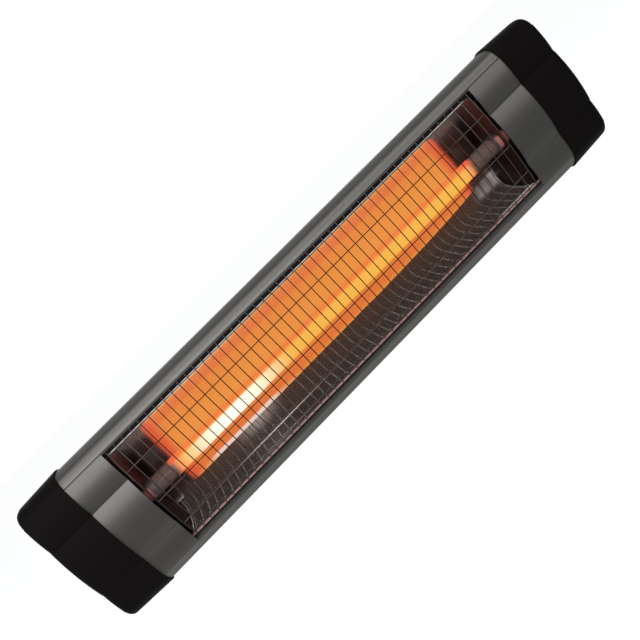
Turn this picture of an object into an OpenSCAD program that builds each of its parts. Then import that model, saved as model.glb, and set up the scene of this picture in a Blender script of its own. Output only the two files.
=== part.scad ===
// Wall-mounted electric bar heater: one quartz tube in an aluminium housing.
// X runs along the heater, the lit front faces -Y and Z is up.
// The origin is the middle of the wall bracket's back face.
// Sections are drawn as [depth, height]. Depth counts back from the front
// edge of the housing, and height counts from the centre line of the tube.

/* [Housing] */
// Length of the heater that shows between the end caps
visible_len = 732; // [700:2:760]
// Height of the housing
body_h = 191; // [186:1:196]
// Depth of the housing behind its front edge
body_depth = 78; // [76:1:84]
// Wall thickness of the extruded housing
skin_t = 2; // [1.6:0.1:2.2]
// Radius of the rounded front shoulders
shoulder_r = 21.5; // [20:0.5:23]
// Radius of the rounded back edges
back_r = 50; // [42:1:52]
// Height from the shoulder's top down to the front edge
nose_drop = 15.6; // [15:0.1:16.5]

/* [Front panels] */
// Length of the grille opening between the front panels
opening_len = 618; // [600:1:624]
// Sheet thickness of the front panels
panel_t = 1.8; // [1.4:0.1:2]
// How far the middle lobe stands in front of the housing edge
crown = 9; // [7:0.5:10]
// Height of the step between the middle and the upper lobe
step_up = 36; // [33:1:40]
// Distance of the lower step below the centre line
step_low = 43; // [36:1:46]
// How far the edge of the middle lobe stands forward
step_out = 4.2; // [3.8:0.1:4.6]
// Radius of each side lobe
lobe_r = 115; // [100:5:140]
// Shadow gap above the panels
top_gap = 1.2; // [0.8:0.1:1.4]

/* [End caps] */
// Length of an end cap outside the visible housing
cap_len = 65; // [58:1:72]
// How far a cap stands proud of the housing
cap_over = 2.2; // [2:0.1:2.6]
// How much a cap draws in towards its outer end
cap_draft = 3; // [1:0.5:4]
// Rounding of a cap's outer end
cap_round = 8; // [7:0.5:12]
// Wall thickness of a moulded cap
cap_wall = 2.5; // [2.2:0.1:3]
// How far a cap laps over the end of the housing
cap_lap = 4; // [3:0.5:6]

/* [Wire guard] */
// Diameter of the guard wires
wire_d = 1.3; // [1.2:0.1:1.8]
// Distance between cross wires
wire_pitch = 12.7; // [11:0.1:16]
// How far the cross wires bow forward of the housing edge
wire_crown = 5; // [4:0.5:6]

/* [Reflector and tube] */
// Depth of the reflector's bottom behind the housing edge
reflector_depth = 47.5; // [46:0.5:49]
// Height above the middle where the reflector's straight flanks begin
flank_z = 48; // [44:1:54]
// Thickness of the polished reflector sheet
sheet_t = 1; // [0.8:0.1:1.1]
// Depth of the tube's axis behind the housing edge
tube_depth = 22; // [21:0.5:24]
// Outside diameter of the quartz tube
tube_d = 23; // [21:0.5:25]
// Wall thickness of the quartz tube
tube_wall = 1.5; // [1.2:0.1:2]
// Length of the heating spiral
glow_len = 522; // [480:2:540]
// Distance between turns of the heating spiral
spiral_pitch = 11.6; // [10.5:0.1:16]

/* [Wall bracket] */
// Gap between the wall and the back of the housing
wall_gap = 60; // [58:1:70]
// Distance of the tilt axis from the wall
pivot_gap = 38; // [36:1:40]
// Width of the wall bracket across its ears
yoke_w = 150; // [140:1:170]
// Thickness of the bracket plates
plate_t = 2.5; // [2:0.1:3]
// Diameter of the pivot bolts
pivot_d = 6; // [5:0.5:8]
// Distance between wall screws along the heater
wall_hole_x = 100; // [90:1:110]
// Distance between wall screws up the wall
wall_hole_z = 36; // [30:1:40]
// Diameter of the wall screw holes
wall_hole_d = 6.4; // [5:0.1:7]
// Diameter of the clamp knobs
knob_d = 30; // [26:1:32]

/* [Hidden] */

// Facets on large and on small curves
fine = 180;
small = 32;
// Overshoot of a cutting shape
eps = 1;
// Air between two loose pieces, round a turning bolt and under a cap's lap
gap = 0.1;
run_fit = 0.08;
lap_fit = 0.35;

half_h = body_h / 2;
front_y = -(wall_gap + body_depth);
body_len = visible_len + 2 * cap_lap;
body_end = body_len / 2;
opening_end = opening_len / 2;
shoulder_c = [shoulder_r, half_h - shoulder_r];
back_c = [body_depth - back_r, half_h - back_r];

// Front edge of the housing and the lip behind it
nose_z = half_h - nose_drop;
lip_front = 1.9;
lip_t = 1.5;
lip_h = 3;
// Slot behind the lip: the guard's wires end in it
slot_top = nose_z + 1;
flange_front = lip_front + lip_t + 2.65;
flange_t = 1.85;
flange_low = nose_z - 8.4;
web_t = 2;
// Channel for the reflector's edge
channel_front = flange_front + flange_t;
channel_w = sheet_t + 2 * gap;
fin_t = 1.5;
fin_low = nose_z - 3.4;

// Rails for the heat shield
shield_t = 1;
shield_depth = reflector_depth + 8;
rail_drop = 33.5;
rail_z = half_h - rail_drop;

// Slots in the back for the saddle's nuts
slot_z = 16;
slot_mouth = 5.8;
nut_w = 8;
nut_t = 4;
slot_w = nut_w + 0.6;
slot_deep = nut_t + 0.4;
saddle_screw_d = 5;

// Screw channels for the end caps
screw_d = 4;
screw_head_r = 3.6;
screw_head_t = 2.8;
screw_shank = 22;
screw_seat = 6;
channel_r = 3.6;
channel_gap = 1.5;
recess_r = screw_head_r + 0.3;
screw_front_drop = 17.5;
screw_back_drop = 51.5;
screw_front = [shoulder_r + 6.5, half_h - screw_front_drop];
screw_back = [shield_depth + shield_t + channel_gap + channel_r, half_h - screw_back_drop];
SCREWS = [screw_front, screw_back];

// Front panels
panel_top = nose_z - top_gap;
panel_low = nose_z - 0.2;
step_in = 3;
mid_half = (step_up + step_low) / 2;
mid_r = (pow(mid_half, 2) + pow(crown - step_out, 2)) / (2 * (crown - step_out));
mid_c = [mid_r - crown, step_up - mid_half];
mid_turn = asin(mid_half / mid_r);
lobe_top = [-0.4, nose_z - 0.5];

// Wire guard
wire_span = nose_z - 0.4;
wire_end = flange_front - wire_d / 2 - 0.05;
wire_rise = wire_crown + wire_end;
wire_r = (pow(wire_span, 2) + pow(wire_rise, 2)) / (2 * wire_rise);
wire_count = floor((opening_len - 5) / wire_pitch) + 1;
wire_half = wire_pitch * (wire_count - 1) / 2;
// Heights of the long wires, from the top down
outer_wire = wire_span - 9.5;
upper_wire = outer_wire - 28;
middle_wire = -9;
lower_wire = -(outer_wire - 19);
LONG_WIRES = [outer_wire, upper_wire, middle_wire, lower_wire, -outer_wire];
// How deep the long wires are welded into the cross wires
weld = 0.35;
wire_sides = 8;

// Reflector
mouth_z = flange_low - 1;
mouth_depth = channel_front + gap;
curve = (reflector_depth - mouth_depth) / (flank_z * (2 * mouth_z - flank_z));
reflector_end = opening_end + 27.5;
plate_x = opening_end - 2;
end_t = 1;
trough_steps = 28;
// Air between the reflector and a plate that stands in it
seat_fit = 0.2;
foot_h = 16;
foot_back = trough(foot_h / 2) - seat_fit;
fixing_z = 5;

// Tube and its holders
ceramic_r = tube_d / 2 + 2;
tail_r = ceramic_r - 0.7;
groove_r = tail_r - 2.8;
collar_x = plate_x - 10.5;
groove_x = plate_x + 9;
groove_w = 6;
ceramic_x = plate_x + 24;
rivet_x = plate_x + 7;
rivet_r = 1.2;
rivet_head_r = 2.2;
bracket_screw_x = groove_x + groove_w / 2 + 7.4;
bracket_screw_r = 1.45;
tube_half = plate_x + 2;
pin_r = 2;
pin_x = ceramic_x + 8;
crimp_r = 2.8;
crimp_end = pin_x + 4;
lead_from = crimp_end + gap;
lead_r = 1.7;
spiral_w = 6.4;
spiral_t = 0.8;
spiral_r = tube_d / 2 - tube_wall - 1.2;
spiral_steps = 12;

// Wiring at the ends of the heat shield
shield_end = reflector_end + 26.5;
block_size = [25, 17.5, 20];
block_x = reflector_end + 15.5;
wiring_drop = 14;
block_z = wiring_drop - screw_back[1];
pole_pitch = 8;
cutout_x = -(reflector_end + 14.5);
cutout_r = 8;
link_z = screw_back[1] - wiring_drop;
link_x = reflector_end + 9.5;
link_mid = link_x - 146;
tag_depth = shield_depth - 13;
pole_depth = shield_depth - 9.5;
link_front = shield_depth - 15.5;
link_back = shield_depth + 6.5;
earth_z = 12;
earth_r = 1.9;

// Bracket
pivot_r = pivot_d / 2;
ear_r = 14;
yoke_h = 60;
washer_t = 1.4;
washer_r = 11;
saddle_w = yoke_w - 2 * plate_t - 2 * (washer_t + gap);
saddle_h = 50;
saddle_hole_x = 80;
bend_r = 4;
pin_washer_t = 1.2;
pin_washer_r = 8;
knob_x = yoke_w / 2 + pin_washer_t + gap;
knob_t = 17;
knob_hub_t = 4;
insert_r = 5.5;
insert_t = 12;

// Cable gland
gland_x = body_end + 26;
gland_z = -20;
gland_seat = body_depth + 1.5;
gland_r = 8;
gland_bore_r = 4;

// Centre of the arc of radius r that joins two points and bows forward.
function arc_centre(p, q, r) =
    let (v = q - p, n = norm(v), h = sqrt(r * r - n * n / 4))
    (p + q) / 2 + h * [-v[1], v[0]] / n;

// Points on an arc, from one angle to another.
function arc(c, r, from, to, n) =
    [for (i = [0 : n]) let (a = from + (to - from) * i / n) c + r * [cos(a), sin(a)]];

function angle(c, p) = 180 + atan((p[1] - c[1]) / (p[0] - c[0]));

// Centre of a side lobe that ends at a step, and its points from the step outwards
function lobe_c(step) = arc_centre(lobe_top, [-step_in, step], lobe_r);
function lobe(step, o) = let (c = lobe_c(step))
    arc(c, lobe_r + o, angle(c, [-step_in, step]), angle(c, lobe_top), 5);

function flip(points) = [for (i = [len(points) - 1 : -1 : 0]) [points[i][0], -points[i][1]]];
// The reflector's inner face: a parabola in the middle, straight flanks beyond it
function trough(z) = let (b = min(abs(z), flank_z))
    reflector_depth - curve * b * (2 * abs(z) - b);
function trough_slope(z) = 2 * curve * max(-flank_z, min(z, flank_z));

// Points along the reflector's inner face, up to a height, moved forward by inset.
function trough_line(top, inset, n = trough_steps) =
    [for (i = [0 : n]) let (z = top * (2 * i / n - 1)) [trough(z) - inset, z]];

// Outline of the whole heater, moved out by the distance o.
function outline(o) =
    let (corners = concat(
        arc(shoulder_c, shoulder_r + o,
            180 - asin((nose_z - shoulder_c[1]) / shoulder_r), 90, 8),
        arc(back_c, back_r + o, 90, 0, 12)))
    concat(arc(mid_c, mid_r + o, 180 + mid_turn, 180 - mid_turn, 12),
        lobe(step_up, o), corners, flip(concat(lobe(step_low, o), corners)));

// A section drawn as [depth, height], drawn out along X.
module along_x(length) {
    rotate([90, 0, 90])
        linear_extrude(height = length, center = true)
            translate([front_y, 0])
                children();
}

// Moves a shape to a place given as X, depth and height.
module at(x, depth, z) {
    translate([x, front_y + depth, z])
        children();
}

module rod_x(r, length) {
    rotate([0, 90, 0])
        cylinder(r = r, h = length, center = true, $fn = small);
}

// A rod that runs back from its place, away from the front.
module rod_back(r, length) {
    rotate([-90, 0, 0])
        cylinder(r = r, h = length, $fn = small);
}

module both_sides() {
    children();
    mirror([1, 0, 0])
        children();
}

// A section and its mirror image below the centre line.
module above_and_below() {
    children();
    mirror([0, 1])
        children();
}

module ring_part(c, r, t, low, high) {
    intersection() {
        translate(c)
            difference() {
                circle(r = r, $fn = fine);
                circle(r = r - t, $fn = fine);
            }
        translate(low)
            square(high - low);
    }
}

// Solid through a list of [x, offset] stations of the heater's outline.
module loft(stations) {
    n = len(outline(0));
    m = len(stations);
    points = [for (s = stations) for (p = outline(s[1])) [s[0], front_y + p[0], p[1]]];
    walls = [for (j = [0 : m - 2]) for (i = [0 : n - 1])
        let (a = j * n + i, b = j * n + (i + 1) % n)
        for (f = [[a, b, b + n], [a, b + n, a + n]]) f];
    ends = [[for (i = [n - 1 : -1 : 0]) i], [for (i = [0 : n - 1]) (m - 1) * n + i]];
    polyhedron(points = points, faces = concat(walls, ends), convexity = 6);
}

// Round cord through a list of points in X, depth and height.
module cord(path, r) {
    sides = 8;
    n = len(path);
    function way(i) = let (v = path[min(i + 1, n - 1)] - path[max(i - 1, 0)]) v / norm(v);
    function side(w) = let (s = cross(w, abs(w[2]) < 0.9 ? [0, 0, 1] : [0, 1, 0])) s / norm(s);
    rings = [for (i = [0 : n - 1]) let (w = way(i), s = side(w), t = cross(w, s))
        for (k = [0 : sides - 1]) let (a = 360 * k / sides)
            path[i] + r * (cos(a) * s + sin(a) * t) + [0, front_y, 0]];
    walls = [for (i = [0 : n - 2]) for (k = [0 : sides - 1])
        let (a = i * sides + k, b = i * sides + (k + 1) % sides)
        for (f = [[a, a + sides, b + sides], [a, b + sides, b]]) f];
    ends = [[for (k = [0 : sides - 1]) k],
        [for (k = [sides - 1 : -1 : 0]) (n - 1) * sides + k]];
    polyhedron(points = rings, faces = concat(walls, ends), convexity = 8);
}

// Cap screw with a cross recess, its head facing +X.
module cap_screw() {
    difference() {
        union() {
            translate([screw_head_t / 2, 0, 0])
                rod_x(screw_head_r, screw_head_t);
            translate([-screw_shank / 2, 0, 0])
                rod_x(screw_d / 2 - 0.35, screw_shank);
        }
        for (a = [0, 90])
            rotate([a, 0, 0])
                translate([screw_head_t, 0, 0])
                    cube([2.4, 4, 0.9], center = true);
    }
}

module housing_section() {
    above_and_below() {
        ring_part(shoulder_c, shoulder_r, skin_t, [0, nose_z], [shoulder_r, half_h]);
        translate([shoulder_r, half_h - skin_t])
            square([back_c[0] - shoulder_r, skin_t]);
        ring_part(back_c, back_r, skin_t, back_c, [body_depth, half_h]);
        translate([body_depth - skin_t, 0])
            square([skin_t, back_c[1]]);
        // Lip, slot for the guard and channel for the reflector
        translate([lip_front, nose_z - lip_h])
            square([lip_t, lip_h + web_t]);
        translate([lip_front + 0.6, slot_top])
            square([channel_front + channel_w + fin_t - lip_front - 0.6, web_t]);
        translate([flange_front, flange_low])
            square([flange_t, slot_top - flange_low + eps]);
        translate([channel_front + channel_w, fin_low])
            square([fin_t, slot_top - fin_low + eps]);
        heat_shield_rail();
        nut_slot();
        screw_channel(screw_front, [screw_front[0] - 0.8, screw_front[1] + 3],
            [1.6, half_h - screw_front[1] - 4]);
        screw_channel(screw_back, [screw_back[0] + 3, screw_back[1] - 0.8],
            [body_depth - screw_back[0] - 4, 1.6]);
    }
}

module heat_shield_rail() {
    reach = back_c[0] + sqrt(pow(back_r - skin_t / 2, 2) - pow(rail_z + 1 - back_c[1], 2));
    difference() {
        translate([shield_depth - 2, rail_z - 1.6])
            square([reach - shield_depth + 2, 3.4]);
        translate([shield_depth - gap, rail_z - 1.6 - eps])
            square([shield_t + 2 * gap, 2.6 + eps]);
        translate([shield_depth + shield_t + 2, rail_z - 1.6 - eps])
            square([reach, 1.6 + eps]);
    }
}

module nut_slot() {
    wall = 1.8;
    difference() {
        translate([body_depth - skin_t - slot_deep - wall, slot_z - slot_w / 2 - wall])
            square([slot_deep + wall + skin_t, slot_w + 2 * wall]);
        translate([body_depth - skin_t - slot_deep, slot_z - slot_w / 2])
            square([slot_deep, slot_w]);
    }
}

// Open tube that a cap screw bites into, and the web that carries it.
module screw_channel(c, web_low, web_size) {
    difference() {
        union() {
            translate(c)
                circle(r = channel_r, $fn = small);
            translate(web_low)
                square(web_size);
        }
        translate(c)
            circle(r = screw_d / 2 - 0.3, $fn = small);
    }
}

module housing() {
    color([0.36, 0.36, 0.35])
        difference() {
            along_x(body_len)
                housing_section();
            for (s = [-1, 1])
                at(0, body_depth - skin_t / 2, s * slot_z)
                    cube([body_len + eps, skin_t + eps, slot_mouth], center = true);
        }
}

module side_lobe(step, top) {
    ring_part(lobe_c(step), lobe_r, panel_t, [-2 * crown, step], [lip_front - 0.2, top]);
}

// Web that joins the middle lobe to a side lobe at the step
module step_web(step) {
    back = panel_t - step_in + 0.2;
    polygon([[0.3 - step_out, step - 2.5], [0.3 - step_out, step],
        [0.1 - step_in, step], [0.1 - step_in, step + 1.5],
        [back, step + 1.5], [back, step - 2.5]]);
}

// Rib that hooks behind the housing's lip
module panel_hook() {
    hook_t = 1.2;
    hook_front = lip_front + lip_t + 0.3;
    rib_z = nose_z - lip_h - 1.4;
    translate([-0.6, rib_z])
        square([hook_front + hook_t + 0.6, 1]);
    translate([hook_front, rib_z])
        square([hook_t, 3.6]);
}

module front_panel(side) {
    length = body_end - opening_end;
    color([0.40, 0.40, 0.39])
        translate([side * (opening_end + length / 2), 0, 0]) {
            along_x(length)
                ring_part(mid_c, mid_r, panel_t, [-crown - eps, -step_low],
                    [panel_t, step_up]);
            along_x(length)
                side_lobe(step_up, panel_top);
            along_x(length)
                mirror([0, 1])
                    side_lobe(step_low, panel_low);
            along_x(length)
                step_web(step_up);
            along_x(length)
                mirror([0, 1])
                    step_web(step_low);
            along_x(length)
                above_and_below()
                    panel_hook();
        }
}

// Right-hand cap, as one skin that runs from the inside of its end wall to the
// mouth, which laps over the housing, and back along the outside to the tip.
module cap_shell() {
    mouth = body_end - cap_lap;
    tip = mouth + cap_len;
    round_x = tip - cap_round;
    inner_r = cap_round - cap_wall;
    inset = cap_over - cap_draft;
    loft(concat(
        [for (a = [90 : -30 : 0])
            [round_x + inner_r * sin(a), inset - cap_wall - inner_r * (1 - cos(a))]],
        [[body_end, cap_over - cap_wall], [body_end, lap_fit], [mouth, lap_fit],
            [mouth, cap_over]],
        [for (a = [0 : 15 : 90])
            [round_x + cap_round * sin(a), inset - cap_round * (1 - cos(a))]]));
}

module end_cap() {
    recess = body_end + screw_seat;
    tip = body_end - cap_lap + cap_len;
    difference() {
        union() {
            cap_shell();
            for (c = SCREWS)
                for (s = [-1, 1])
                    at((body_end + tip) / 2, c[0], s * c[1])
                        rod_x(recess_r + 1, tip - body_end - cap_wall);
        }
        for (c = SCREWS)
            for (s = [-1, 1]) {
                at(body_end, c[0], s * c[1])
                    rod_x(screw_d / 2 + 0.2, 2 * screw_seat + eps);
                at(recess + cap_len / 2, c[0], s * c[1])
                    rod_x(recess_r, cap_len);
            }
    }
}

module end_cap_right() {
    color([0.05, 0.05, 0.05])
        difference() {
            union() {
                end_cap();
                at(gland_x, gland_seat - 4.5, gland_z)
                    rod_back(13, 4.5);
            }
            at(gland_x, body_depth - 20, gland_z)
                rod_back(gland_r + gap, 30);
        }
}

module end_cap_left() {
    color([0.05, 0.05, 0.05])
        mirror([1, 0, 0])
            end_cap();
}

module cap_screws() {
    for (c = SCREWS)
        for (s = [-1, 1])
            at(body_end + screw_seat, c[0], s * c[1])
                cap_screw();
}

module wire_section() {
    rotate(180 / wire_sides)
        circle(d = wire_d, $fn = wire_sides);
}

// One cross wire, bowed like the front of the heater.
module cross_wire(x) {
    reach = asin(wire_span / wire_r);
    at(x, wire_r - wire_crown, 0)
        rotate([0, 0, -90])
            rotate([90, 0, 0])
                rotate([0, 0, -reach])
                    rotate_extrude(angle = 2 * reach, $fn = fine)
                        translate([wire_r, 0])
                            wire_section();
}

module wire_guard() {
    color([0.72, 0.72, 0.72]) {
        for (i = [0 : wire_count - 1])
            cross_wire(i * wire_pitch - wire_half);
        for (z = LONG_WIRES)
            at(0, wire_r - wire_crown - sqrt(pow(wire_r - wire_d + weld, 2) - z * z), z)
                rotate([90, 0, 90])
                    linear_extrude(height = 2 * wire_half + wire_d, center = true)
                        wire_section();
    }
}

module reflector() {
    inner = trough_line(mouth_z, 0);
    outer = [for (i = [trough_steps : -1 : 0])
        let (p = inner[i], n = [1, trough_slope(p[1])]) p + sheet_t * n / norm(n)];
    color([0.80, 0.78, 0.76])
        difference() {
            union() {
                along_x(2 * reflector_end)
                    polygon(concat(inner, outer));
                along_x(2 * reflector_end)
                    above_and_below()
                        translate([mouth_depth, mouth_z - 0.4])
                            square([sheet_t, slot_top - mouth_z]);
            }
            for (s = [-1, 1])
                for (z = [-fixing_z, fixing_z]) {
                    at(s * rivet_x, reflector_depth - 5, z)
                        rod_back(rivet_r + 0.05, 10);
                    at(s * bracket_screw_x, reflector_depth - 5, z)
                        rod_back(bracket_screw_r + 0.05, 10);
                }
        }
}

module reflector_end(side) {
    top = mouth_z - 2;
    front = 4;
    corner = 8;
    tab = 11;
    color([0.76, 0.74, 0.72])
        difference() {
            union() {
                translate([side * (plate_x + end_t / 2), 0, 0])
                    along_x(end_t)
                        polygon(concat([[front, corner - top]],
                            trough_line(top, seat_fit), [[front, top - corner]]));
                translate([side * (plate_x + tab / 2), 0, 0])
                    along_x(tab)
                        translate([foot_back - end_t, -foot_h / 2])
                            square([end_t, foot_h]);
            }
            at(side * plate_x, tube_depth, 0)
                rod_x(tail_r + 0.3, 4 * end_t);
            for (z = [-fixing_z, fixing_z])
                at(side * rivet_x, foot_back - 2 * end_t, z)
                    rod_back(rivet_r + 0.05, 4 * end_t);
        }
}

// Blind rivets through the end plates' tabs and the reflector
module end_plate_rivets() {
    head_t = 0.8;
    color([0.75, 0.75, 0.75])
        for (s = [-1, 1])
            for (z = [-fixing_z, fixing_z])
                at(s * rivet_x, foot_back - end_t, z) {
                    translate([0, -head_t, 0])
                        rod_back(rivet_head_r, head_t);
                    translate([0, -head_t / 2, 0])
                        rod_back(rivet_r, head_t / 2 + end_t + sheet_t + 2);
                }
}

module heat_shield() {
    color([0.62, 0.62, 0.60])
        difference() {
            at(0, shield_depth + shield_t / 2, 0)
                cube([2 * shield_end, shield_t, 2 * rail_z + 1.4], center = true);
            for (s = [-1, 1])
                at(s * link_x, shield_depth - 5, link_z)
                    rod_back(3.5, 10);
            at(block_x, shield_depth - 5, earth_z)
                rod_back(earth_r + gap, 10);
        }
}

module quartz_tube() {
    color([0.85, 0.80, 0.75])
        at(0, tube_depth, 0)
            difference() {
                rod_x(tube_d / 2, 2 * tube_half);
                rod_x(tube_d / 2 - tube_wall, 2 * tube_half + eps);
            }
}

// Ribbon wound in a spiral round the tube's axis
module heating_spiral() {
    turns = glow_len / spiral_pitch;
    n = ceil(turns * spiral_steps);
    edge = [[-spiral_w / 2, 0], [spiral_w / 2, 0],
        [spiral_w / 2, -spiral_t], [-spiral_w / 2, -spiral_t]];
    rings = [for (i = [0 : n])
        let (a = 360 * turns * i / n, x = glow_len * (i / n - 0.5))
        for (e = edge) [x + e[0], front_y + tube_depth + (spiral_r + e[1]) * cos(a),
            (spiral_r + e[1]) * sin(a)]];
    // Least distance from a turn to points of the next, which is printed
    next = spiral_steps * 4;
    echo(least_gap_between_turns = min([for (i = [0 : len(rings) - 1 - next - 8])
        for (j = [-8 : 8]) norm(rings[i + next + j] - rings[i])]));
    walls = [for (i = [0 : n - 1]) for (k = [0 : 3])
        [i * 4 + (k + 1) % 4, (i + 1) * 4 + (k + 1) % 4, (i + 1) * 4 + k, i * 4 + k]];
    color([1, 0.65, 0.15])
        polyhedron(points = rings, convexity = 10,
            faces = concat(walls, [[3, 2, 1, 0], [n * 4, n * 4 + 1, n * 4 + 2, n * 4 + 3]]));
}

// Ceramic that holds one end of the tube, turned to the right
module tube_end() {
    difference() {
        union() {
            turned(ceramic_r, collar_x, plate_x - 1);
            turned(tail_r, plate_x - 1, groove_x);
            turned(groove_r, groove_x, groove_x + groove_w);
            turned(tail_r, groove_x + groove_w, ceramic_x);
        }
        turned(tube_d / 2 + gap, collar_x - eps, tube_half);
        turned(pin_r + gap, tube_half - eps, ceramic_x + eps);
    }
}

// Cylinder about the tube's axis, from one X to another
module turned(r, from, to) {
    at((from + to) / 2, tube_depth, 0)
        rod_x(r, to - from);
}

module lead_pin() {
    disc_x = glow_len / 2 + spiral_w / 2;
    turned(pin_r, disc_x, pin_x);
    turned(tube_d / 2 - tube_wall - 0.4, disc_x, disc_x + 2);
    turned(crimp_r, ceramic_x + 1, crimp_end);
}

// Slotted steel plate that the ceramic's groove drops into
module tube_bracket() {
    plate = 1.2;
    foot = 14;
    front = 8;
    half_w = 17;
    fit = 0.3;
    x = groove_x + (groove_w - plate) / 2;
    difference() {
        union() {
            translate([x + plate / 2, 0, 0])
                along_x(plate)
                    polygon(concat([[front, -half_w]],
                        trough_line(half_w, seat_fit, 8), [[front, half_w]]));
            translate([x + foot / 2, 0, 0])
                along_x(foot)
                    translate([foot_back - plate, -foot_h / 2])
                        square([plate, foot_h]);
        }
        turned(groove_r + fit, x - eps, x + plate + eps);
        at(x, tube_depth - 10, 0)
            cube([4 * plate, 20, 2 * (groove_r + fit)], center = true);
        for (z = [-fixing_z, fixing_z])
            at(bracket_screw_x, foot_back - 2 * plate, z)
                rod_back(bracket_screw_r + 0.15, 4 * plate);
    }
}

module bracket_screws() {
    plate = 1.2;
    head_t = 1.6;
    color([0.70, 0.70, 0.68])
        for (s = [-1, 1])
            for (z = [-fixing_z, fixing_z])
                at(s * bracket_screw_x, foot_back - plate, z) {
                    translate([0, -head_t, 0])
                        rod_back(2.7, head_t);
                    translate([0, -head_t / 2, 0])
                        rod_back(bracket_screw_r, head_t / 2 + plate + sheet_t + 2.5);
                }
}

module terminal_block() {
    color([0.90, 0.88, 0.82])
        at(block_x, shield_depth - block_size[1] / 2, block_z)
            difference() {
                cube(block_size, center = true);
                for (i = [-1 : 1]) {
                    translate([i * pole_pitch, 0, 0])
                        cylinder(r = 2, h = block_size[2] + eps, center = true, $fn = small);
                    for (z = [-5, 5])
                        translate([i * pole_pitch, -block_size[1] / 2 - eps, z])
                            rod_back(1.6, block_size[1] / 2);
                }
            }
}

module terminal_screws() {
    color([0.80, 0.68, 0.35])
        for (i = [-1 : 1])
            for (z = [-5, 5])
                at(block_x + i * pole_pitch, shield_depth - block_size[1] + 1.5, block_z + z)
                    rod_back(1.5, block_size[1] / 2 - 3);
}

module thermal_cutout() {
    flange = 0.8;
    color([0.20, 0.16, 0.13])
        at(cutout_x, shield_depth, 0) {
            translate([0, -flange / 2, 0])
                cube([12, flange, 28], center = true);
            translate([0, -8.5, 0])
                rod_back(cutout_r, 8.5 - flange / 2);
            for (s = [-1, 1])
                translate([0, -10.5, s * 5])
                    cube([0.8, 5, 4.4], center = true);
        }
}

// Insulated leads, as points in X, depth and height
module lead_right() {
    end_z = block_z + block_size[2] / 2;
    color([0.75, 0.72, 0.66])
        cord([[lead_from, tube_depth, 0], [lead_from + 2, tube_depth, 0],
            [lead_from + 4, tube_depth + 1, -1], [block_x + 1, tube_depth + 6, -3],
            [block_x, pole_depth - 10, end_z + 13], [block_x, pole_depth - 3, end_z + 8],
            [block_x, pole_depth, end_z + 3], [block_x, pole_depth, end_z + gap]], lead_r);
}

module lead_left() {
    color([0.75, 0.72, 0.66])
        cord([[-lead_from, tube_depth, 0], [-lead_from - 2, tube_depth, 0],
            [-lead_from - 4, tube_depth + 1, -1], [cutout_x, tube_depth + 6, -3],
            [cutout_x, tag_depth - 6.5, -5], [cutout_x, tag_depth - gap, -5]], lead_r);
}

module lead_link() {
    end_z = block_z + block_size[2] / 2;
    far = block_x - pole_pitch;
    half = [[link_x - 12, link_back, link_z], [link_x - 6, link_back, link_z],
        [link_x - 2, link_back - 2, link_z], [link_x, shield_depth, link_z],
        [link_x, shield_depth - 7.5, link_z]];
    near = [for (i = [4 : -1 : 0]) [-half[i][0], half[i][1], half[i][2]]];
    color([0.75, 0.72, 0.66])
        cord(concat([[cutout_x, tag_depth - gap, 5], [cutout_x, tag_depth - 4, 5],
            [cutout_x + 1, tag_depth - 6, 9], [cutout_x + 2, tag_depth - 6, 16],
            [cutout_x + 3, tag_depth - 4, 22], [-link_x, tag_depth, link_z - 3]], near,
            [for (x = [-link_mid, 0, link_mid]) [x, link_back, link_z]],
            half, [[link_x, link_front + 2, link_z - 4], [link_x - 1, link_front, link_z - 12],
            [far, link_front, link_z - 22], [far, link_front + 2, end_z + 16],
            [far, pole_depth, end_z + 8], [far, pole_depth, end_z + gap]]), lead_r);
}

module earth_screw() {
    color([0.72, 0.72, 0.70])
        at(block_x, shield_depth, earth_z) {
            translate([0, -2, 0])
                rod_back(earth_r, 8);
            translate([0, -4.6, 0])
                rod_back(3.8, 2.6);
            translate([0, -1, 0])
                rod_back(5, 1);
        }
}

module cable_gland() {
    dome = 10;
    color([0.06, 0.06, 0.06])
        at(gland_x, 0, gland_z)
            difference() {
                union() {
                    translate([0, gland_seat - 11, 0])
                        rod_back(gland_r, 12);
                    translate([0, gland_seat, 0])
                        rotate([-90, 0, 0])
                            cylinder(r = 12, h = 5, $fn = 6);
                    translate([0, gland_seat + 5, 0])
                        rod_back(10, dome - 3);
                    translate([0, gland_seat + 2 + dome, 0])
                        rod_back(8.6, 2);
                }
                translate([0, gland_seat - 12, 0])
                    rod_back(gland_bore_r, 30);
            }
}

module gland_locknut() {
    color([0.06, 0.06, 0.06])
        at(gland_x, gland_seat - 9.5, gland_z)
            difference() {
                rotate([-90, 0, 0])
                    cylinder(r = 12, h = 4.8, $fn = 6);
                translate([0, -eps, 0])
                    rod_back(gland_r + gap / 2, 10);
            }
}

// Flat strip bent to a U, seen from above, with its back towards -Y or +Y
module bent_strip(width, reach, height) {
    translate([0, 0, -height / 2])
        linear_extrude(height = height)
            difference() {
                union() {
                    translate([-width / 2 + bend_r, 0])
                        square([width - 2 * bend_r, bend_r]);
                    translate([-width / 2, bend_r])
                        square([width, reach - bend_r]);
                    for (s = [-1, 1])
                        translate([s * (width / 2 - bend_r), bend_r])
                            circle(r = bend_r, $fn = 48);
                }
                translate([-width / 2 + bend_r, plate_t])
                    square([width - 2 * bend_r, reach]);
                translate([-width / 2 + plate_t, bend_r])
                    square([width - 2 * plate_t, reach]);
                for (s = [-1, 1])
                    translate([s * (width / 2 - bend_r), bend_r])
                        circle(r = bend_r - plate_t, $fn = 48);
            }
}

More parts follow.
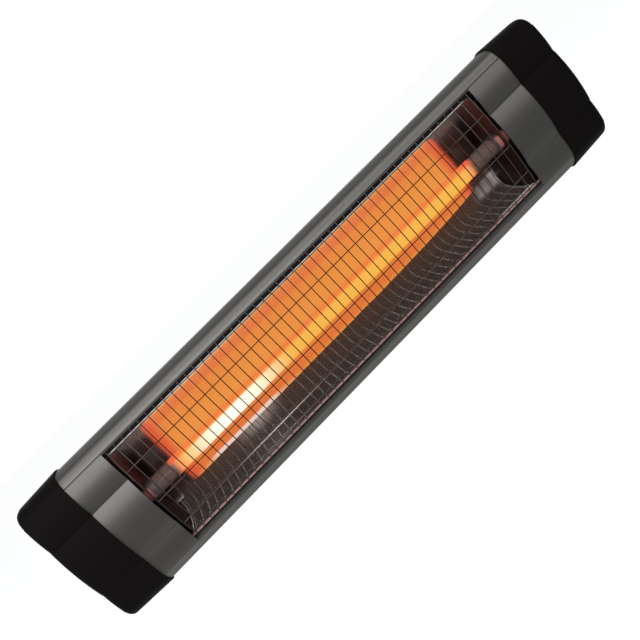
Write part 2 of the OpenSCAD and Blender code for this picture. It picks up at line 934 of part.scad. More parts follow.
// Side view of a bracket: a tall back and a rounded ear about the pivot
module ear_profile(back_h, pivot) {
    ear_h = 2 * ear_r + 8;
    rotate([90, 0, 90])
        linear_extrude(height = yoke_w + 2 * eps, center = true) {
            translate([-eps, -back_h / 2])
                square([plate_t + eps, back_h]);
            polygon([[0, -ear_h / 2], [pivot * 0.55, -ear_h / 2], [pivot, -ear_r],
                [pivot, ear_r], [pivot * 0.55, ear_h / 2], [0, ear_h / 2]]);
            translate([pivot, 0])
                circle(r = ear_r, $fn = 64);
        }
}

module bracket(width, height, pivot) {
    intersection() {
        bent_strip(width, pivot + ear_r, height);
        ear_profile(height, pivot);
    }
}

module wall_yoke() {
    color([0.10, 0.10, 0.10])
        difference() {
            rotate([0, 0, 180])
                bracket(yoke_w, yoke_h, pivot_gap);
            translate([0, -pivot_gap, 0])
                rod_x(pivot_r + run_fit, yoke_w + eps);
            for (x = [-1, 1])
                for (z = [-1, 1])
                    translate([x * wall_hole_x / 2, -plate_t - eps, z * wall_hole_z / 2])
                        rod_back(wall_hole_d / 2, plate_t + 2 * eps);
        }
}

module saddle() {
    color([0.10, 0.10, 0.10])
        difference() {
            translate([0, -wall_gap, 0])
                bracket(saddle_w, saddle_h, wall_gap - pivot_gap);
            translate([0, -pivot_gap, 0])
                rod_x(pivot_r + run_fit, yoke_w);
            for (x = [-1, 1])
                for (z = [-1, 1])
                    translate([x * saddle_hole_x / 2, -wall_gap - eps, z * slot_z])
                        rod_back(saddle_screw_d / 2 + 0.25, plate_t + 2 * eps);
        }
}

module saddle_screws() {
    color([0.75, 0.75, 0.73])
        for (x = [-1, 1])
            for (z = [-1, 1])
                translate([x * saddle_hole_x / 2, -wall_gap, z * slot_z]) {
                    translate([0, -skin_t - slot_deep + 0.3, 0])
                        rod_back(saddle_screw_d / 2, slot_deep + skin_t + plate_t);
                    translate([0, plate_t, 0])
                        rod_back(4.6, 3.2);
                }
}

module slot_nuts() {
    color([0.70, 0.70, 0.68])
        for (x = [-1, 1])
            for (z = [-1, 1])
                translate([x * saddle_hole_x / 2, -wall_gap - skin_t - nut_t / 2 - gap / 2,
                    z * slot_z])
                    difference() {
                        cube([nut_w, nut_t, nut_w], center = true);
                        translate([0, -nut_t, 0])
                            rod_back(saddle_screw_d / 2 + 0.02, 2 * nut_t);
                    }
}

// Pieces on the tilt axis, drawn for the right-hand ear
module on_pivot(from, to, r) {
    translate([(from + to) / 2, -pivot_gap, 0])
        rod_x(r, to - from);
}

module pivot_bolt() {
    ear_in = saddle_w / 2 - plate_t;
    on_pivot(ear_in - 3.2, ear_in, pivot_r + 3.6);
    on_pivot(ear_in - 0.5, knob_x + insert_t, pivot_r);
}

module pivot_washer(from, t, r) {
    difference() {
        on_pivot(from, from + t, r);
        on_pivot(from - eps, from + t + eps, pivot_r + run_fit);
    }
}

module knob() {
    lobes = 6;
    difference() {
        union() {
            on_pivot(knob_x, knob_x + knob_t, knob_d / 2 - 5);
            translate([knob_x + knob_hub_t, -pivot_gap, 0])
                rotate([90, 0, 90])
                    linear_extrude(height = knob_t - knob_hub_t - 2)
                        difference() {
                            circle(d = knob_d, $fn = 64);
                            for (i = [0 : lobes - 1])
                                rotate(i * 360 / lobes)
                                    translate([knob_d / 2 + 2.4, 0])
                                        circle(r = 5, $fn = small);
                        }
        }
        on_pivot(knob_x - eps, knob_x + insert_t, insert_r);
        on_pivot(knob_x - eps, knob_x + insert_t + 1, pivot_r + 0.5);
    }
}

module knob_insert() {
    difference() {
        on_pivot(knob_x, knob_x + insert_t, insert_r);
        on_pivot(knob_x - eps, knob_x + insert_t + eps, pivot_r + run_fit);
    }
}

wall_yoke();
saddle();
color([0.75, 0.75, 0.73]) both_sides() pivot_bolt();  // pivot_bolts
color([0.25, 0.18, 0.14])  // friction_washers
        both_sides() pivot_washer(saddle_w / 2 + gap / 2, washer_t, washer_r);
color([0.75, 0.75, 0.73])  // pivot_washers
        both_sides() pivot_washer(yoke_w / 2 + gap / 2, pin_washer_t, pin_washer_r);
color([0.05, 0.05, 0.05]) mirror([1, 0, 0]) knob();  // knob_left
color([0.05, 0.05, 0.05]) knob();  // knob_right
color([0.80, 0.65, 0.30]) mirror([1, 0, 0]) knob_insert();  // insert_left
color([0.80, 0.65, 0.30]) knob_insert();  // insert_right
saddle_screws();
slot_nuts();
housing();
front_panel(-1);  // front_panel_left
front_panel(1);  // front_panel_right
end_cap_left();
end_cap_right();
color([0.70, 0.70, 0.68]) mirror([1, 0, 0]) cap_screws();  // cap_screws_left
color([0.70, 0.70, 0.68]) cap_screws();  // cap_screws_right
wire_guard();
reflector();
reflector_end(-1);  // reflector_end_left
reflector_end(1);  // reflector_end_right
end_plate_rivets();
heat_shield();
quartz_tube();
heating_spiral();
color([0.90, 0.86, 0.80]) mirror([1, 0, 0]) tube_end();  // tube_end_left
color([0.90, 0.86, 0.80]) tube_end();  // tube_end_right
color([0.70, 0.68, 0.64]) mirror([1, 0, 0]) lead_pin();  // lead_pin_left
color([0.70, 0.68, 0.64]) lead_pin();  // lead_pin_right
color([0.66, 0.66, 0.64]) mirror([1, 0, 0]) tube_bracket();  // tube_bracket_left
color([0.66, 0.66, 0.64]) tube_bracket();  // tube_bracket_right
bracket_screws();
terminal_block();
terminal_screws();
thermal_cutout();
lead_left();
lead_link();
lead_right();
earth_screw();
cable_gland();
gland_locknut();
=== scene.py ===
import math

import bmesh
import bpy
from mathutils import Matrix, Vector


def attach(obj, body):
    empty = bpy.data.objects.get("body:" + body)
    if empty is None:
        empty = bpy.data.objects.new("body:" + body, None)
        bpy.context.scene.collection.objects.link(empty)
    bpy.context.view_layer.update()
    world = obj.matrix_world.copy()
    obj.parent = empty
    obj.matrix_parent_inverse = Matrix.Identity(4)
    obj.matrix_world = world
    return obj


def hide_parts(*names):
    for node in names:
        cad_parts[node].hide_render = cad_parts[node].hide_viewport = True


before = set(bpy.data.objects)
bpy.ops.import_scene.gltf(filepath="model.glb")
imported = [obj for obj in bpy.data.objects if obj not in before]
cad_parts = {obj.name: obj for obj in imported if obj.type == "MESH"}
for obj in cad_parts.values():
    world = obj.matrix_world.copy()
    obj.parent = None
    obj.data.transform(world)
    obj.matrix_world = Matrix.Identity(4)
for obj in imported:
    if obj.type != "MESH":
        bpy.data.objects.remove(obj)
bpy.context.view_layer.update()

# Camera. The heater is seen from the front and a little from above, and the camera
# is rolled so that the heater runs from the lower left to the upper right.
focal_length_mm, film_width_mm, nearest = 41.818, 36, 0.01
camera_place = (-0.10271, -1.00247, 0.23972)
heading, look_down, roll = -0.0967, 0.2630, math.radians(-43.849)
camera = bpy.data.objects.new("camera", bpy.data.cameras.new("camera"))
camera.data.lens = focal_length_mm
camera.data.sensor_width = film_width_mm
camera.data.clip_start = nearest
turn = (Matrix.Rotation(heading, 4, "Z") @ Matrix.Rotation(math.pi / 2 - look_down, 4, "X")
        @ Matrix.Rotation(roll, 4, "Z"))
camera.matrix_world = Matrix.Translation(camera_place) @ turn
bpy.context.scene.collection.objects.link(camera)
bpy.context.scene.camera = camera
bpy.context.scene.view_settings.view_transform = "Standard"


# Studio. A pale floor well below the heater, a soft lamp above it, two wide ones in
# front, the left one the stronger, and a small one at the left side. Behind the
# photographer the polished trough sees a dim room with a small lamp and a window.
class Amount:
    """A number or colour on a socket. Sums, products and the like add Math nodes."""

    def __init__(self, maker, socket):
        self.maker, self.socket = maker, socket

    def math(self, operation, *terms):
        return self.maker.node("ShaderNodeMath", {"operation": operation},
                               dict(enumerate(terms)))

    def __add__(self, other):
        return self.math("ADD", self, other)

    def __sub__(self, other):
        return self.math("SUBTRACT", self, other)

    def __rsub__(self, other):
        return self.math("SUBTRACT", other, self)

    def __mul__(self, other):
        return self.math("MULTIPLY", self, other)

    __radd__, __rmul__ = __add__, __mul__

    def larger(self, other):
        return self.math("MAXIMUM", self, other)

    def unsigned(self):
        return self.math("ABSOLUTE", self)

    def rise(self, low, high):
        """0 below low, 1 above high and smooth between them."""
        return self.maker.node("ShaderNodeMapRange", {"interpolation_type": "SMOOTHSTEP"},
                               {"Value": self, "From Min": low, "From Max": high})

    def between(self, low, high, soft):
        """1 from low to high and 0 outside, each end fading over soft to both sides."""
        return self.rise(low - soft, low + soft) * (1 - self.rise(high - soft, high + soft))


class Nodes:
    """A node tree that nodes are added to one by one."""

    def __init__(self, tree):
        self.tree = tree

    def feed(self, socket, value):
        if isinstance(value, Amount):
            self.tree.links.new(value.socket, socket)
        else:
            socket.default_value = value

    def node(self, kind, settings=None, sockets=None, out=0):
        """A new node: its settings, then values or links on its sockets."""
        node = self.tree.nodes.new(kind)
        for name, value in (settings or {}).items():
            setattr(node, name, value)
        for name, value in (sockets or {}).items():
            self.feed(node.inputs[name], value)
        return Amount(self, node.outputs[out]) if node.outputs else None

    def blend(self, share, first, second):
        """A colour between two. Sockets 6, 7 and output 2 are the ones for colours."""
        first, second = [colour if isinstance(colour, Amount) else (*colour, 1)
                         for colour in (first, second)]
        return self.node("ShaderNodeMix", {"data_type": "RGBA"},
                         {0: share, 6: first, 7: second}, out=2)


class Finish(Nodes):
    """A material. Values that are the same all over are set on its shader."""

    def __init__(self, name, **uniform):
        self.material = bpy.data.materials.new(name)
        self.material.use_nodes = True
        super().__init__(self.material.node_tree)
        self.shader = self.tree.nodes["Principled BSDF"]
        for socket, value in uniform.items():
            self.shader.inputs[socket.replace("_", " ")].default_value = value

    def vary(self, socket, value):
        self.feed(self.shader.inputs[socket], value)

    def axis(self, name):
        """One of the Object coordinates, in metres."""
        here = self.node("ShaderNodeTexCoord", out="Object")
        return self.node("ShaderNodeSeparateXYZ", None, {0: here}, out=name)

    def noise(self, scale, detail=3, rough=0.5, stretch=(1, 1, 1)):
        """Noise on Object coordinates, finer along an axis with a larger stretch."""
        here = self.node("ShaderNodeTexCoord", out="Object")
        spread = self.node("ShaderNodeVectorMath", {"operation": "MULTIPLY"},
                           {0: here, 1: stretch})
        return self.node("ShaderNodeTexNoise", None, {
            "Vector": spread, "Scale": scale, "Detail": detail, "Roughness": rough})

    def bump(self, height, strength, distance):
        self.vary("Normal", self.node("ShaderNodeBump", None, {
            "Height": height, "Strength": strength, "Distance": distance}))


def coat(finish, *nodes):
    """Gives CAD nodes their material."""
    for name in nodes:
        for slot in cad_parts[name].material_slots:
            slot.material = finish.material


def seen_share(nodes, behind):
    """1 for what the camera sees, straight, in metal or through glass. Metal shows
    only what is behind the heater; the dim room in front of it is left out."""
    straight, glossy_ray, clear = [
        nodes.node("ShaderNodeLightPath", out=f"Is {ray} Ray")
        for ray in ("Camera", "Glossy", "Transmission")]
    return straight.larger(clear).larger(glossy_ray * behind)


floor_z, floor_reach, floor_white = -1.0, 9, 0.80
room_floor = (-1.5, -0.25)
floor_mesh = bpy.data.meshes.new("floor")
floor_mesh.from_pydata([(side_x * floor_reach, side_y * floor_reach, floor_z)
                        for side_x, side_y in ((-1, -1), (1, -1), (1, 1), (-1, 1))],
                       [], [(0, 1, 2, 3)])
floor = bpy.data.objects.new("floor", floor_mesh)
bpy.context.scene.collection.objects.link(floor)
floor_paint = Finish("floor_paint", Roughness=0.9, Specular_IOR_Level=0.1,
                     Emission_Strength=1.0)
glossy = floor_paint.node("ShaderNodeLightPath", out="Is Glossy Ray")
back_part = floor_paint.axis("Y").rise(*room_floor)
pale = floor_paint.blend(floor_paint.noise(3) * 0.5, (0.50, 0.50, 0.50), (0.54, 0.54, 0.53))
floor_paint.vary("Base Color", floor_paint.blend(
    glossy * (1 - back_part), pale, (0.02, 0.014, 0.012)))
floor_paint.vary("Emission Color", floor_paint.blend(
    seen_share(floor_paint, back_part) * floor_white, (0, 0, 0), (1, 1, 1)))
floor_mesh.materials.append(floor_paint.material)

room_edge, backdrop_edge, room_light = (-0.3, -0.2), (0.15, 0.55), 0.34
window_aside, window_up = (0.372, 0.420, 0.010), (0.30, 0.775, 0.035)
lamp_aside, lamp_up = (-0.080, -0.040, 0.03), (0.700, 0.850, 0.050)
world = bpy.data.worlds.new("studio")
bpy.context.scene.world = world
world.use_nodes = True
air = Nodes(world.node_tree)
air.tree.nodes.clear()
way = air.node("ShaderNodeTexCoord", out="Generated")
aside, ahead, up = [air.node("ShaderNodeSeparateXYZ", None, {0: way}, out=name)
                    for name in "XYZ"]
glossy = air.node("ShaderNodeLightPath", out="Is Glossy Ray")
in_front = 1 - ahead.rise(*room_edge)
window = aside.between(*window_aside) * up.between(*window_up) * in_front
small_lamp = aside.between(*lamp_aside) * up.between(*lamp_up) * in_front
dim = air.blend(window, (0.10, 0.075, 0.068), (1.35, 1.27, 1.20))
dim = air.blend(small_lamp, dim, (1.15, 1.06, 1.02))
room = air.blend(glossy, (0.92, 0.96, 1.0), dim)
fill = air.node("ShaderNodeBackground", None, {"Color": room, "Strength": room_light})
white = air.node("ShaderNodeBackground", None, {"Color": (1, 1, 1, 1), "Strength": 1.0})
sky = air.node("ShaderNodeMixShader", None,
               {0: seen_share(air, ahead.rise(*backdrop_edge)), 1: fill, 2: white})
air.node("ShaderNodeOutputWorld", None, {"Surface": sky})

lit_by_lamps = bpy.data.collections.new("lit_by_lamps")


def lamp(name, place, aim, size, power):
    """A soft rectangular lamp at a place, turned to its aim; metres and watts."""
    light = bpy.data.lights.new(name, "AREA")
    light.shape, light.size, light.size_y, light.energy = "RECTANGLE", *size, power
    holder = bpy.data.objects.new(name, light)
    beam = Vector(aim) - Vector(place)
    holder.matrix_world = (Matrix.Translation(place)
                           @ beam.to_track_quat("-Z", "Y").to_matrix().to_4x4())
    bpy.context.scene.collection.objects.link(holder)
    holder.light_linking.receiver_collection = lit_by_lamps


heater_middle, heater_left = (0, -0.1, 0), (-0.3, -0.1, 0)
lamp("top_lamp", (0, -0.75, 1.35), heater_middle, size=(2.6, 0.7), power=15)
lamp("front_lamp_left", (-0.5, -2.3, 1.0), heater_middle, size=(2.4, 2.0), power=64)
lamp("front_lamp_right", (1.45, -2.3, 1.0), heater_middle, size=(0.9, 1.9), power=13.5)
lamp("side_lamp", (-2.0, -1.2, 0.3), heater_left, size=(0.8, 0.8), power=19)

# Housing. One aluminium extrusion as long as the heater, anthracite anodised, with fine
# lines along it from the die. It carries the lips, channels and nut slots. The recess
# round the opening is painted dark as shade, and a reddish edge along its lower lip is a
# painted highlight.
dark_tint = (0.35, 0.35, 0.35, 1)
recess_depth, recess_height = (-0.1335, -0.120, 0.0005), (-0.0764, 0.0793, 0.0007)
lip_edge = (-0.0740, -0.0700, 0.0003)
anodised = Finish("anodised_housing", Metallic=0.65, Specular_IOR_Level=0.2,
                  Specular_Tint=dark_tint)
lines = anodised.noise(1.0, detail=4, rough=0.6, stretch=(6, 900, 900))
cloud = anodised.noise(9.0)
grey = anodised.blend(lines * 0.6 + cloud * 0.4, (0.077, 0.075, 0.070), (0.101, 0.098, 0.092))
deep, height = anodised.axis("Y"), anodised.axis("Z")
# Painted shade in the recess round the opening, and a painted highlight on the lower lip's
# edge.
recess = deep.between(*recess_depth) * height.between(*recess_height)
lip_painted_highlight = recess * height.between(*lip_edge)
grey_and_painted_shade = anodised.blend(recess, grey, (0.016, 0.013, 0.012))
anodised.vary("Base Color", anodised.blend(lip_painted_highlight, grey_and_painted_shade, (0.62, 0.38, 0.37)))
anodised.vary("Roughness", lines * 0.10 + 0.26)
anodised.bump(lines, strength=0.10, distance=0.0002)
coat(anodised, "housing")

# Front panels. Two stepped panels of the same make close the front left and right
# of the opening. Their bowed faces are brushed along the heater before anodising.
brushed = Finish("anodised_panel", Metallic=0.65, Specular_IOR_Level=0.2,
                 Specular_Tint=dark_tint)
strokes = brushed.noise(1.0, detail=5, rough=0.65, stretch=(14, 1400, 1400))
brushed.vary("Base Color", brushed.blend(
    strokes, (0.073, 0.071, 0.066), (0.098, 0.095, 0.089)))
brushed.vary("Roughness", strokes * 0.10 + 0.24)
brushed.bump(strokes, strength=0.12, distance=0.0002)
coat(brushed, "front_panel_left", "front_panel_right")

# End caps. Moulded in black glass-filled nylon with a fine spark texture, pushed over
# the ends of the housing and held by four screws each.
moulding = Finish("black_moulding", Metallic=0.0, Specular_IOR_Level=0.05)
grain = moulding.noise(1500, detail=2, rough=0.6)
moulding.vary("Base Color", moulding.blend(
    grain, (0.0015, 0.0012, 0.0010), (0.0029, 0.0023, 0.0020)))
moulding.vary("Roughness", grain * 0.16 + 0.58)
moulding.bump(grain, strength=0.25, distance=0.0002)
coat(moulding, "end_cap_left", "end_cap_right")

# Cap screws. Zinc-plated steel screws in the caps' recesses, driven into the screw
# ports of the housing.
zinc = Finish("zinc_plate", Metallic=1.0)
spangle = zinc.noise(420, detail=4, rough=0.6)
zinc.vary("Base Color", zinc.blend(spangle, (0.50, 0.51, 0.50), (0.70, 0.70, 0.66)))
zinc.vary("Roughness", spangle * 0.18 + 0.24)
coat(zinc, "cap_screws_left", "cap_screws_right")

# Reflector. A polished aluminium trough, a parabola with straight flanks, bent so that
# its upper half shows the tube right up to the edge. Its edges are sprung into channels
# of the housing, and the lower flank stands a little forward but for its right end.
polished = Finish("polished_sheet", Metallic=1.0)
ripple = polished.noise(1.0, stretch=(10, 60, 60))
polished.vary("Base Color", polished.blend(ripple, (0.86, 0.80, 0.77), (0.92, 0.86, 0.83)))
polished.vary("Roughness", ripple * 0.03 + 0.02)
polished.bump(ripple, strength=0.03, distance=0.001)
mirror = Amount(polished, polished.shader.outputs[0])
haze = polished.node("ShaderNodeBsdfPrincipled", None, {
    "Base Color": (0.88, 0.82, 0.79, 1), "Metallic": 1.0, "Roughness": 0.42})
hazed = polished.node("ShaderNodeMixShader", None,
                      {0: ripple * 0.06 + 0.08, 1: mirror, 2: haze})
polished.feed(polished.tree.nodes["Material Output"].inputs["Surface"], hazed)

front_y = -0.138
mouth_z, mouth_depth, bottom_depth, sheet = 0.0705, 0.008, 0.0475, 0.0010
flank_z, edge_z, reflector_half = 0.048, 0.0805, 0.3365
curve = (bottom_depth - mouth_depth) / (flank_z * (2 * mouth_z - flank_z))
spring, spring_fades, spring_run, spring_power = 0.0021, 0.05, 0.21, 1.8
spring_top, spring_foot = 0.005, 0.046
steps_up, steps_along = 48, 32


def smooth_step(low, high, value):
    share = min(max((value - low) / (high - low), 0.0), 1.0)
    return share * share * (3 - 2 * share)


def trough(x, z):
    """Depth of the inner face and its slope in height."""
    middle = min(abs(z), flank_z)
    slope = 2 * curve * math.copysign(middle, z)
    faded = min(max((x - spring_fades) / spring_run, 0.0), 1.0) ** spring_power
    stand_off = (faded - 1) * spring * smooth_step(spring_top, spring_foot, -z)
    return bottom_depth - curve * middle * (2 * abs(z) - middle) + stand_off, slope


def trough_section(x):
    """The sheet's closed outline at x, as points in depth and height."""
    heights = [mouth_z * (i / steps_up - 1) for i in range(2 * steps_up + 1)]
    inside = [(trough(x, z)[0], z) for z in heights]
    outside = []
    for z in reversed(heights):
        depth, slope = trough(x, z)
        reach = sheet / math.hypot(1, slope)
        outside.append((depth + reach, z + reach * slope))
    lip = [(mouth_depth, edge_z), (mouth_depth + sheet, edge_z)]
    foot = [(mouth_depth + sheet, -edge_z), (mouth_depth, -edge_z)]
    return inside + lip + outside + foot


built = bmesh.new()
stations = [reflector_half * (i / steps_along - 1) for i in range(2 * steps_along + 1)]
rings = [[built.verts.new((x, front_y + depth, z)) for depth, z in trough_section(x)]
         for x in stations]
for end in (rings[0], rings[-1][::-1]):
    for rim in built.faces.new(end).edges:
        rim.smooth = False
for ring, following in zip(rings, rings[1:]):
    for i in range(len(ring)):
        j = (i + 1) % len(ring)
        built.faces.new((ring[j], ring[i], following[i], following[j])).smooth = True
bmesh.ops.recalc_face_normals(built, faces=built.faces)
trough_mesh = bpy.data.meshes.new("polished_trough")
built.to_mesh(trough_mesh)
built.free()
trough_mesh.materials.append(polished.material)
trough_piece = bpy.data.objects.new("polished_trough", trough_mesh)
bpy.context.scene.collection.objects.link(trough_piece)
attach(trough_piece, "heater")
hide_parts("reflector")

# Reflector ends. A plate of duller sheet closes each end of the trough, held by two
# rivets. Its upper half is painted red as lit by the tube's glow, its lower half painted dark
# as shade.
# The lamps light everything but these and the mirror-bright sheet, which shows the room
# alone.
dull = Finish("dull_sheet", Metallic=0.5, Roughness=0.5, Specular_IOR_Level=0.2)
plate_middle = (-0.012, 0.012)
# Painted glow on the upper half of the plates, painted shade on the lower half.
glow_lit_upper_half = dull.axis("Z").rise(*plate_middle)
painted_glow = dull.blend(dull.noise(60), (0.17, 0.066, 0.062), (0.24, 0.100, 0.092))
dull.vary("Base Color", dull.blend(glow_lit_upper_half, (0.070, 0.045, 0.041), painted_glow))
coat(dull, "reflector_end_left", "reflector_end_right")
coat(zinc, "end_plate_rivets")
for piece in (trough_piece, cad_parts["reflector_end_left"],
              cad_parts["reflector_end_right"]):
    lit_by_lamps.objects.link(piece)
for member in lit_by_lamps.collection_objects:
    member.light_linking.link_state = "EXCLUDE"

# Quartz tube. Drawn clear quartz that glows over the heated length of its ribbon: yellow
# in front, orange behind, and clear at both ends. Left of the middle a lamp's reflection is
# painted on it in white and pale.
glass = Finish("glowing_quartz", Roughness=0.30, Specular_IOR_Level=0.0,
               Emission_Strength=1.0)
lit_front, lit_back = (-0.264, 0.255, 0.005), (-0.2690, 0.2590, 0.004)
full_run, streak_run = (-0.255, 0.247, 0.010), (-0.236, -0.118, 0.014)
reflection_rise, reflection_fall, top_fade = (-0.264, -0.186), (-0.162, -0.066), (0.0050, 0.0080)
front_depth, front_height = (-0.1200, -0.1160), (-0.0095, 0.0072, 0.0030)
under_depth, under_height = (-0.1195, -0.1180), (-0.0095, -0.0083)
back_depth = (-0.1150, -0.1055)
along, deep, level = [glass.axis(name) for name in "XYZ"]
full_heat = along.between(*full_run)
# Left of the middle, all but the top of the tube is painted white as a painted reflection of
# a lamp,
lamp_reflection = (along.rise(*reflection_rise) * (1 - along.rise(*reflection_fall))
             * (1 - level.rise(*top_fade)))
# and along the same stretch its underside is painted pale, a painted streak of reflected lamp
# light.
reflected_streak = along.between(*streak_run) * (1 - level.rise(*under_height))
front = (1 - deep.rise(*front_depth)) * level.between(*front_height)
front = front.larger(reflected_streak * (1 - deep.rise(*under_depth)))
lit = front * along.between(*lit_front) + (1 - front) * along.between(*lit_back)
yellow_and_reflection = glass.blend(lamp_reflection, (0.92, 0.47, 0.072), (1.25, 1.16, 0.92))
yellow_and_reflection = glass.blend(reflected_streak, yellow_and_reflection, (0.94, 0.83, 0.80))
front_glow = glass.blend(full_heat, (0.90, 0.30, 0.12), yellow_and_reflection)
amber = glass.blend(deep.rise(*back_depth), (0.87, 0.215, 0.050), (0.95, 0.355, 0.074))
back_glow = glass.blend(full_heat, (0.82, 0.12, 0.050), amber)
glow = glass.blend(front, back_glow, front_glow)
glass.vary("Emission Color", glass.blend(lit, (0.012, 0.006, 0.005), glow))
clear = glass.blend(glass.noise(30), (0.080, 0.054, 0.047), (0.115, 0.080, 0.070))
glass.vary("Base Color", glass.blend(lit, clear, (0.01, 0.008, 0.007)))
glass.vary("Alpha", lit * 0.40 + 0.60)
coat(glass, "quartz_tube")

# Heating ribbon. Flat carbon ribbon wound in an open spiral inside the tube, clamped to
# a pin at each end. Its weave shows as grain in the glow.
ribbon = Finish("glowing_ribbon", Roughness=0.6, Emission_Strength=1.0)
weave = ribbon.noise(900)
heated_run = (-0.262, 0.250, 0.003)
heated = ribbon.axis("X").between(*heated_run)
ribbon.vary("Base Color", ribbon.blend(weave, (0.05, 0.04, 0.04), (0.10, 0.08, 0.07)))
fire = ribbon.blend(weave, (1.2, 0.62, 0.08), (1.5, 0.85, 0.14))
ribbon.vary("Emission Color", ribbon.blend(heated, (0.02, 0.01, 0.01), fire))
coat(ribbon, "heating_spiral")

# Tube ends. Pressed and fired steatite collars that grip the tube. Their reddish brown is
# the tube's red glow, painted; they are painted darker behind as shade, and darker above,
# below and towards the tube.
steatite = Finish("steatite", Roughness=0.55)
chalk = steatite.noise(260, detail=4, rough=0.6)
collar_back, collar_top = (-0.124, -0.112), (0.0065, 0.0095)
collar_mouths = (-0.3046, 0.3008, 0.0012)
# Painted glow in the reddish tone, painted shade on the back side.
shaded_far_side = steatite.axis("Y").rise(*collar_back)
near_tube = steatite.axis("X").between(*collar_mouths)
above_below = steatite.axis("Z").unsigned().rise(*collar_top)
painted_glow_and_shade = steatite.blend(chalk, (0.24, 0.072, 0.064), (0.34, 0.110, 0.095))
painted_glow_and_shade = steatite.blend(shaded_far_side, painted_glow_and_shade, (0.16, 0.045, 0.038))
painted_glow_and_shade = steatite.blend(near_tube, painted_glow_and_shade, (0.042, 0.026, 0.023))
steatite.vary("Base Color", steatite.blend(above_below, painted_glow_and_shade, (0.022, 0.012, 0.010)))
steatite.bump(chalk, strength=0.2, distance=0.0003)
coat(steatite, "tube_end_left", "tube_end_right")

# Lead pins and brackets. Nickel pins carry the current through the collars, whose
# grooves drop into slotted plated steel brackets, screwed through the trough.
nickel = Finish("nickel_pin", Metallic=1.0)
satin = nickel.noise(600)
nickel.vary("Base Color", nickel.blend(satin, (0.50, 0.47, 0.42), (0.62, 0.59, 0.54)))
nickel.vary("Roughness", satin * 0.15 + 0.28)
coat(nickel, "lead_pin_left", "lead_pin_right")
coat(zinc, "tube_bracket_left", "tube_bracket_right", "bracket_screws")

# Wire guard. Chromed steel wires, bowed like the front of the heater and welded to five
# long wires. Their ends are snapped into slots behind the housing's lips. Before the glow
# they are painted reddish brown as lit by it, and a stretch of one long wire below the tube
# carries a painted highlight.
chrome = Finish("chromed_wire", Metallic=0.5, Specular_IOR_Level=0.2)
plating = chrome.noise(700)
glow_lit_height, glow_lit_run = (-0.027, 0.068, 0.004), (-0.262, 0.2575, 0.002)
highlight_height, highlight_run = (-0.0522, -0.0498, 0.0003), (-0.185, -0.100, 0.050)
side, height = chrome.axis("X"), chrome.axis("Z")
# Painted glow on the wires before the glowing trough, and a painted highlight on one long
# wire.
glow_lit = height.between(*glow_lit_height) * side.between(*glow_lit_run)
wire_highlight = height.between(*highlight_height) * side.between(*highlight_run)
tone_and_highlight = chrome.blend(plating, (0.042, 0.032, 0.029), (0.062, 0.049, 0.045))
tone_and_highlight = chrome.blend(wire_highlight, tone_and_highlight, (0.42, 0.37, 0.36))
chrome.vary("Base Color", chrome.blend(glow_lit, tone_and_highlight, (0.055, 0.016, 0.006)))
chrome.vary("Roughness", plating * 0.12 + 0.22)


class Pattern(Nodes):
    """A geometry node tree with named sizes, which make() turns into a plain mesh."""

    def __init__(self, name, **sizes):
        super().__init__(bpy.data.node_groups.new(name, "GeometryNodeTree"))
        for size, value in sizes.items():
            kind = "NodeSocketInt" if isinstance(value, int) else "NodeSocketFloat"
            self.tree.interface.new_socket(size, in_out="INPUT", socket_type=kind)
        self.tree.interface.new_socket("Geometry", in_out="OUTPUT",
                                       socket_type="NodeSocketGeometry")
        self.sizes = sizes
        self.inlet = self.tree.nodes.new("NodeGroupInput").outputs

    def size(self, name):
        return Amount(self, self.inlet[name])

    def point(self, x=0.0, y=0.0, z=0.0):
        return self.node("ShaderNodeCombineXYZ", None, {0: x, 1: y, 2: z})

    def swept(self, path, section):
        return self.node("GeometryNodeCurveToMesh", None,
                         {"Curve": path, "Profile Curve": section, "Fill Caps": True})

    def joined(self, *shapes):
        node = self.tree.nodes.new("GeometryNodeJoinGeometry")
        for shape in reversed(shapes):
            self.feed(node.inputs[0], shape)
        return Amount(self, node.outputs[0])

    def make(self, name, finish, shape):
        whole = self.node("GeometryNodeRealizeInstances", None, {0: shape})
        done = self.node("GeometryNodeSetMaterial", None,
                         {0: whole, "Material": finish.material})
        self.node("NodeGroupOutput", None, {0: done})
        holder = bpy.data.objects.new(name, bpy.data.meshes.new(name))
        bpy.context.scene.collection.objects.link(holder)
        grown = holder.modifiers.new(name, "NODES")
        grown.node_group = self.tree
        for item in self.tree.interface.items_tree:
            if item.in_out == "INPUT":
                grown[item.identifier] = self.sizes[item.name]
        evaluated = holder.evaluated_get(bpy.context.evaluated_depsgraph_get())
        mesh = bpy.data.meshes.new_from_object(evaluated)
        holder.modifiers.clear()
        holder.data = mesh
        return holder


wire, crown, guard_rear, guard_half = 0.0013, 0.005, 0.00535, 0.0795
long_wire_heights = (0.070, 0.042, -0.009, -0.051, -0.070)
weld_depth, overhang = 0.00035, 0.0008
wire_sides, bow_points = 10, 20
bow = crown + guard_rear
bow_r = (guard_half ** 2 + bow ** 2) / (2 * bow)
guard = Pattern("bowed_guard", wire=wire, pitch=0.0127, wires=49, half_height=guard_half,
                crown=crown, rear=guard_rear)
section = guard.node("GeometryNodeCurvePrimitiveCircle", None,
                     {"Resolution": wire_sides, "Radius": guard.size("wire") * 0.5})
end_y = guard.size("rear") + front_y
arc = guard.node("GeometryNodeCurveArc", {"mode": "POINTS"}, {
    "Resolution": bow_points,
    "Start": guard.point(0.0, end_y, guard.size("half_height")),
    "Middle": guard.point(0.0, front_y - guard.size("crown"), 0.0),
    "End": guard.point(0.0, end_y, guard.size("half_height") * -1)})
half_run = (guard.size("wires") - 1) * guard.size("pitch") * 0.5
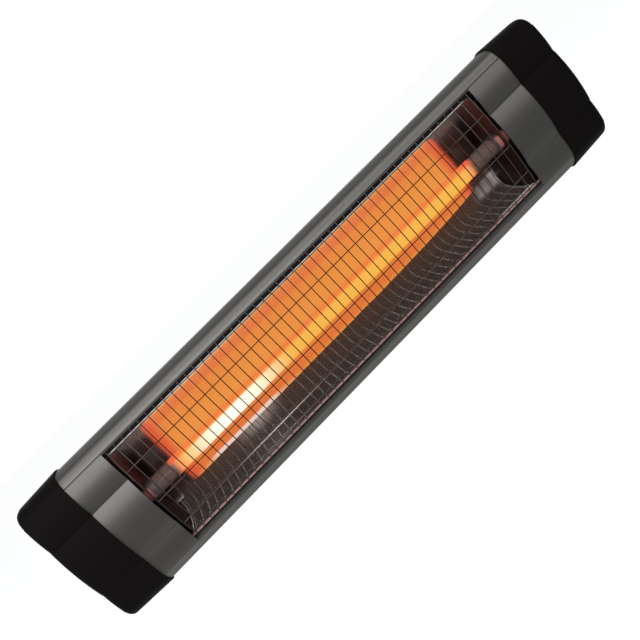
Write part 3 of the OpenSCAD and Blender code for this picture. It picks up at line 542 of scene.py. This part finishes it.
row = guard.node("GeometryNodeMeshLine", {"mode": "OFFSET"}, {
    "Count": guard.size("wires"), "Start Location": guard.point(half_run * -1),
    "Offset": guard.point(guard.size("pitch"))})
cross_wires = guard.node("GeometryNodeInstanceOnPoints", None,
                         {"Points": row, "Instance": guard.swept(arc, section)})
long_wires = []
for z in long_wire_heights:
    back = math.sqrt((bow_r - wire + weld_depth) ** 2 - z ** 2)
    y = front_y + bow_r - crown - back
    run = guard.node("GeometryNodeCurvePrimitiveLine", None, {
        "Start": guard.point(half_run * -1 - overhang, y, z),
        "End": guard.point(half_run + overhang, y, z)})
    long_wires.append(guard.swept(run, section))
smooth = guard.node("GeometryNodeSetShadeSmooth", None,
                    {0: guard.joined(cross_wires, *long_wires)})
guard_piece = guard.make("guard_wires", chrome, smooth)
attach(guard_piece, "heater")
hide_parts("wire_guard")

# Heat shield. A flat mill-finish aluminium sheet with fine lines from rolling, slid
# into rails of the housing behind the reflector.
mill = Finish("mill_sheet", Metallic=1.0)
rolled = mill.noise(1.0, detail=4, rough=0.6, stretch=(8, 300, 300))
mill.vary("Base Color", mill.blend(rolled, (0.50, 0.50, 0.49), (0.62, 0.62, 0.60)))
mill.vary("Roughness", rolled * 0.15 + 0.30)
coat(mill, "heat_shield")

# Terminals. A steatite terminal block on the heat shield, with turned brass screws in
# its poles, and a plated earth screw beside it.
brass = Finish("turned_brass", Metallic=1.0)
turning = brass.noise(900)
brass.vary("Base Color", brass.blend(turning, (0.62, 0.44, 0.17), (0.76, 0.57, 0.26)))
brass.vary("Roughness", turning * 0.15 + 0.25)
# The block shares the collars' finish, with its painted glow and painted shade.
coat(steatite, "terminal_block")
coat(brass, "terminal_screws")
coat(zinc, "earth_screw")

# Thermal cut-out. A bimetal switch in a pressed phenolic case on the heat shield, where
# it feels the heat of the trough; it opens the circuit if the heater is covered.
phenolic = Finish("phenolic", Roughness=0.45)
phenolic.vary("Base Color", phenolic.blend(
    phenolic.noise(300), (0.055, 0.030, 0.018), (0.085, 0.050, 0.030)))
coat(phenolic, "thermal_cutout")

# Leads. Wires in braided glass-fibre sleeves, which join the pins, the cut-out and the
# terminal block. The supply cable's way in is a moulded gland in the right-hand cap.
sleeve = Finish("glass_sleeve", Roughness=0.8)
braid = sleeve.noise(1200, detail=2)
sleeve.vary("Base Color", sleeve.blend(braid, (0.48, 0.45, 0.39), (0.66, 0.63, 0.56)))
sleeve.bump(braid, strength=0.4, distance=0.0003)
coat(sleeve, "lead_left", "lead_link", "lead_right")
coat(moulding, "cable_gland", "gland_locknut")

# Wall bracket. A powder-coated steel yoke on the wall and a saddle screwed to nuts in
# the housing's slots, pivoted on two bolts.
powder = Finish("black_powder_coat", Specular_IOR_Level=0.4)
peel = powder.noise(500, rough=0.55)
powder.vary("Base Color", powder.blend(peel, (0.012, 0.012, 0.012), (0.022, 0.022, 0.022)))
powder.vary("Roughness", peel * 0.2 + 0.38)
powder.bump(peel, strength=0.3, distance=0.0003)
coat(powder, "wall_yoke", "saddle")
coat(zinc, "pivot_bolts", "pivot_washers", "saddle_screws", "slot_nuts")

# Friction washers. Pressed brown fibre between yoke and saddle, so that the heater stays
# at the tilt it is given.
fibre = Finish("pressed_fibre", Roughness=0.85)
felt = fibre.noise(800, detail=4)
fibre.vary("Base Color", fibre.blend(felt, (0.10, 0.055, 0.035), (0.17, 0.10, 0.065)))
coat(fibre, "friction_washers")

# Clamp knobs. Six-lobed black plastic knobs moulded over brass inserts, one at each end
# of the pivot; loosened by hand to tilt the heater.
coat(moulding, "knob_left", "knob_right")
coat(brass, "insert_left", "insert_right")
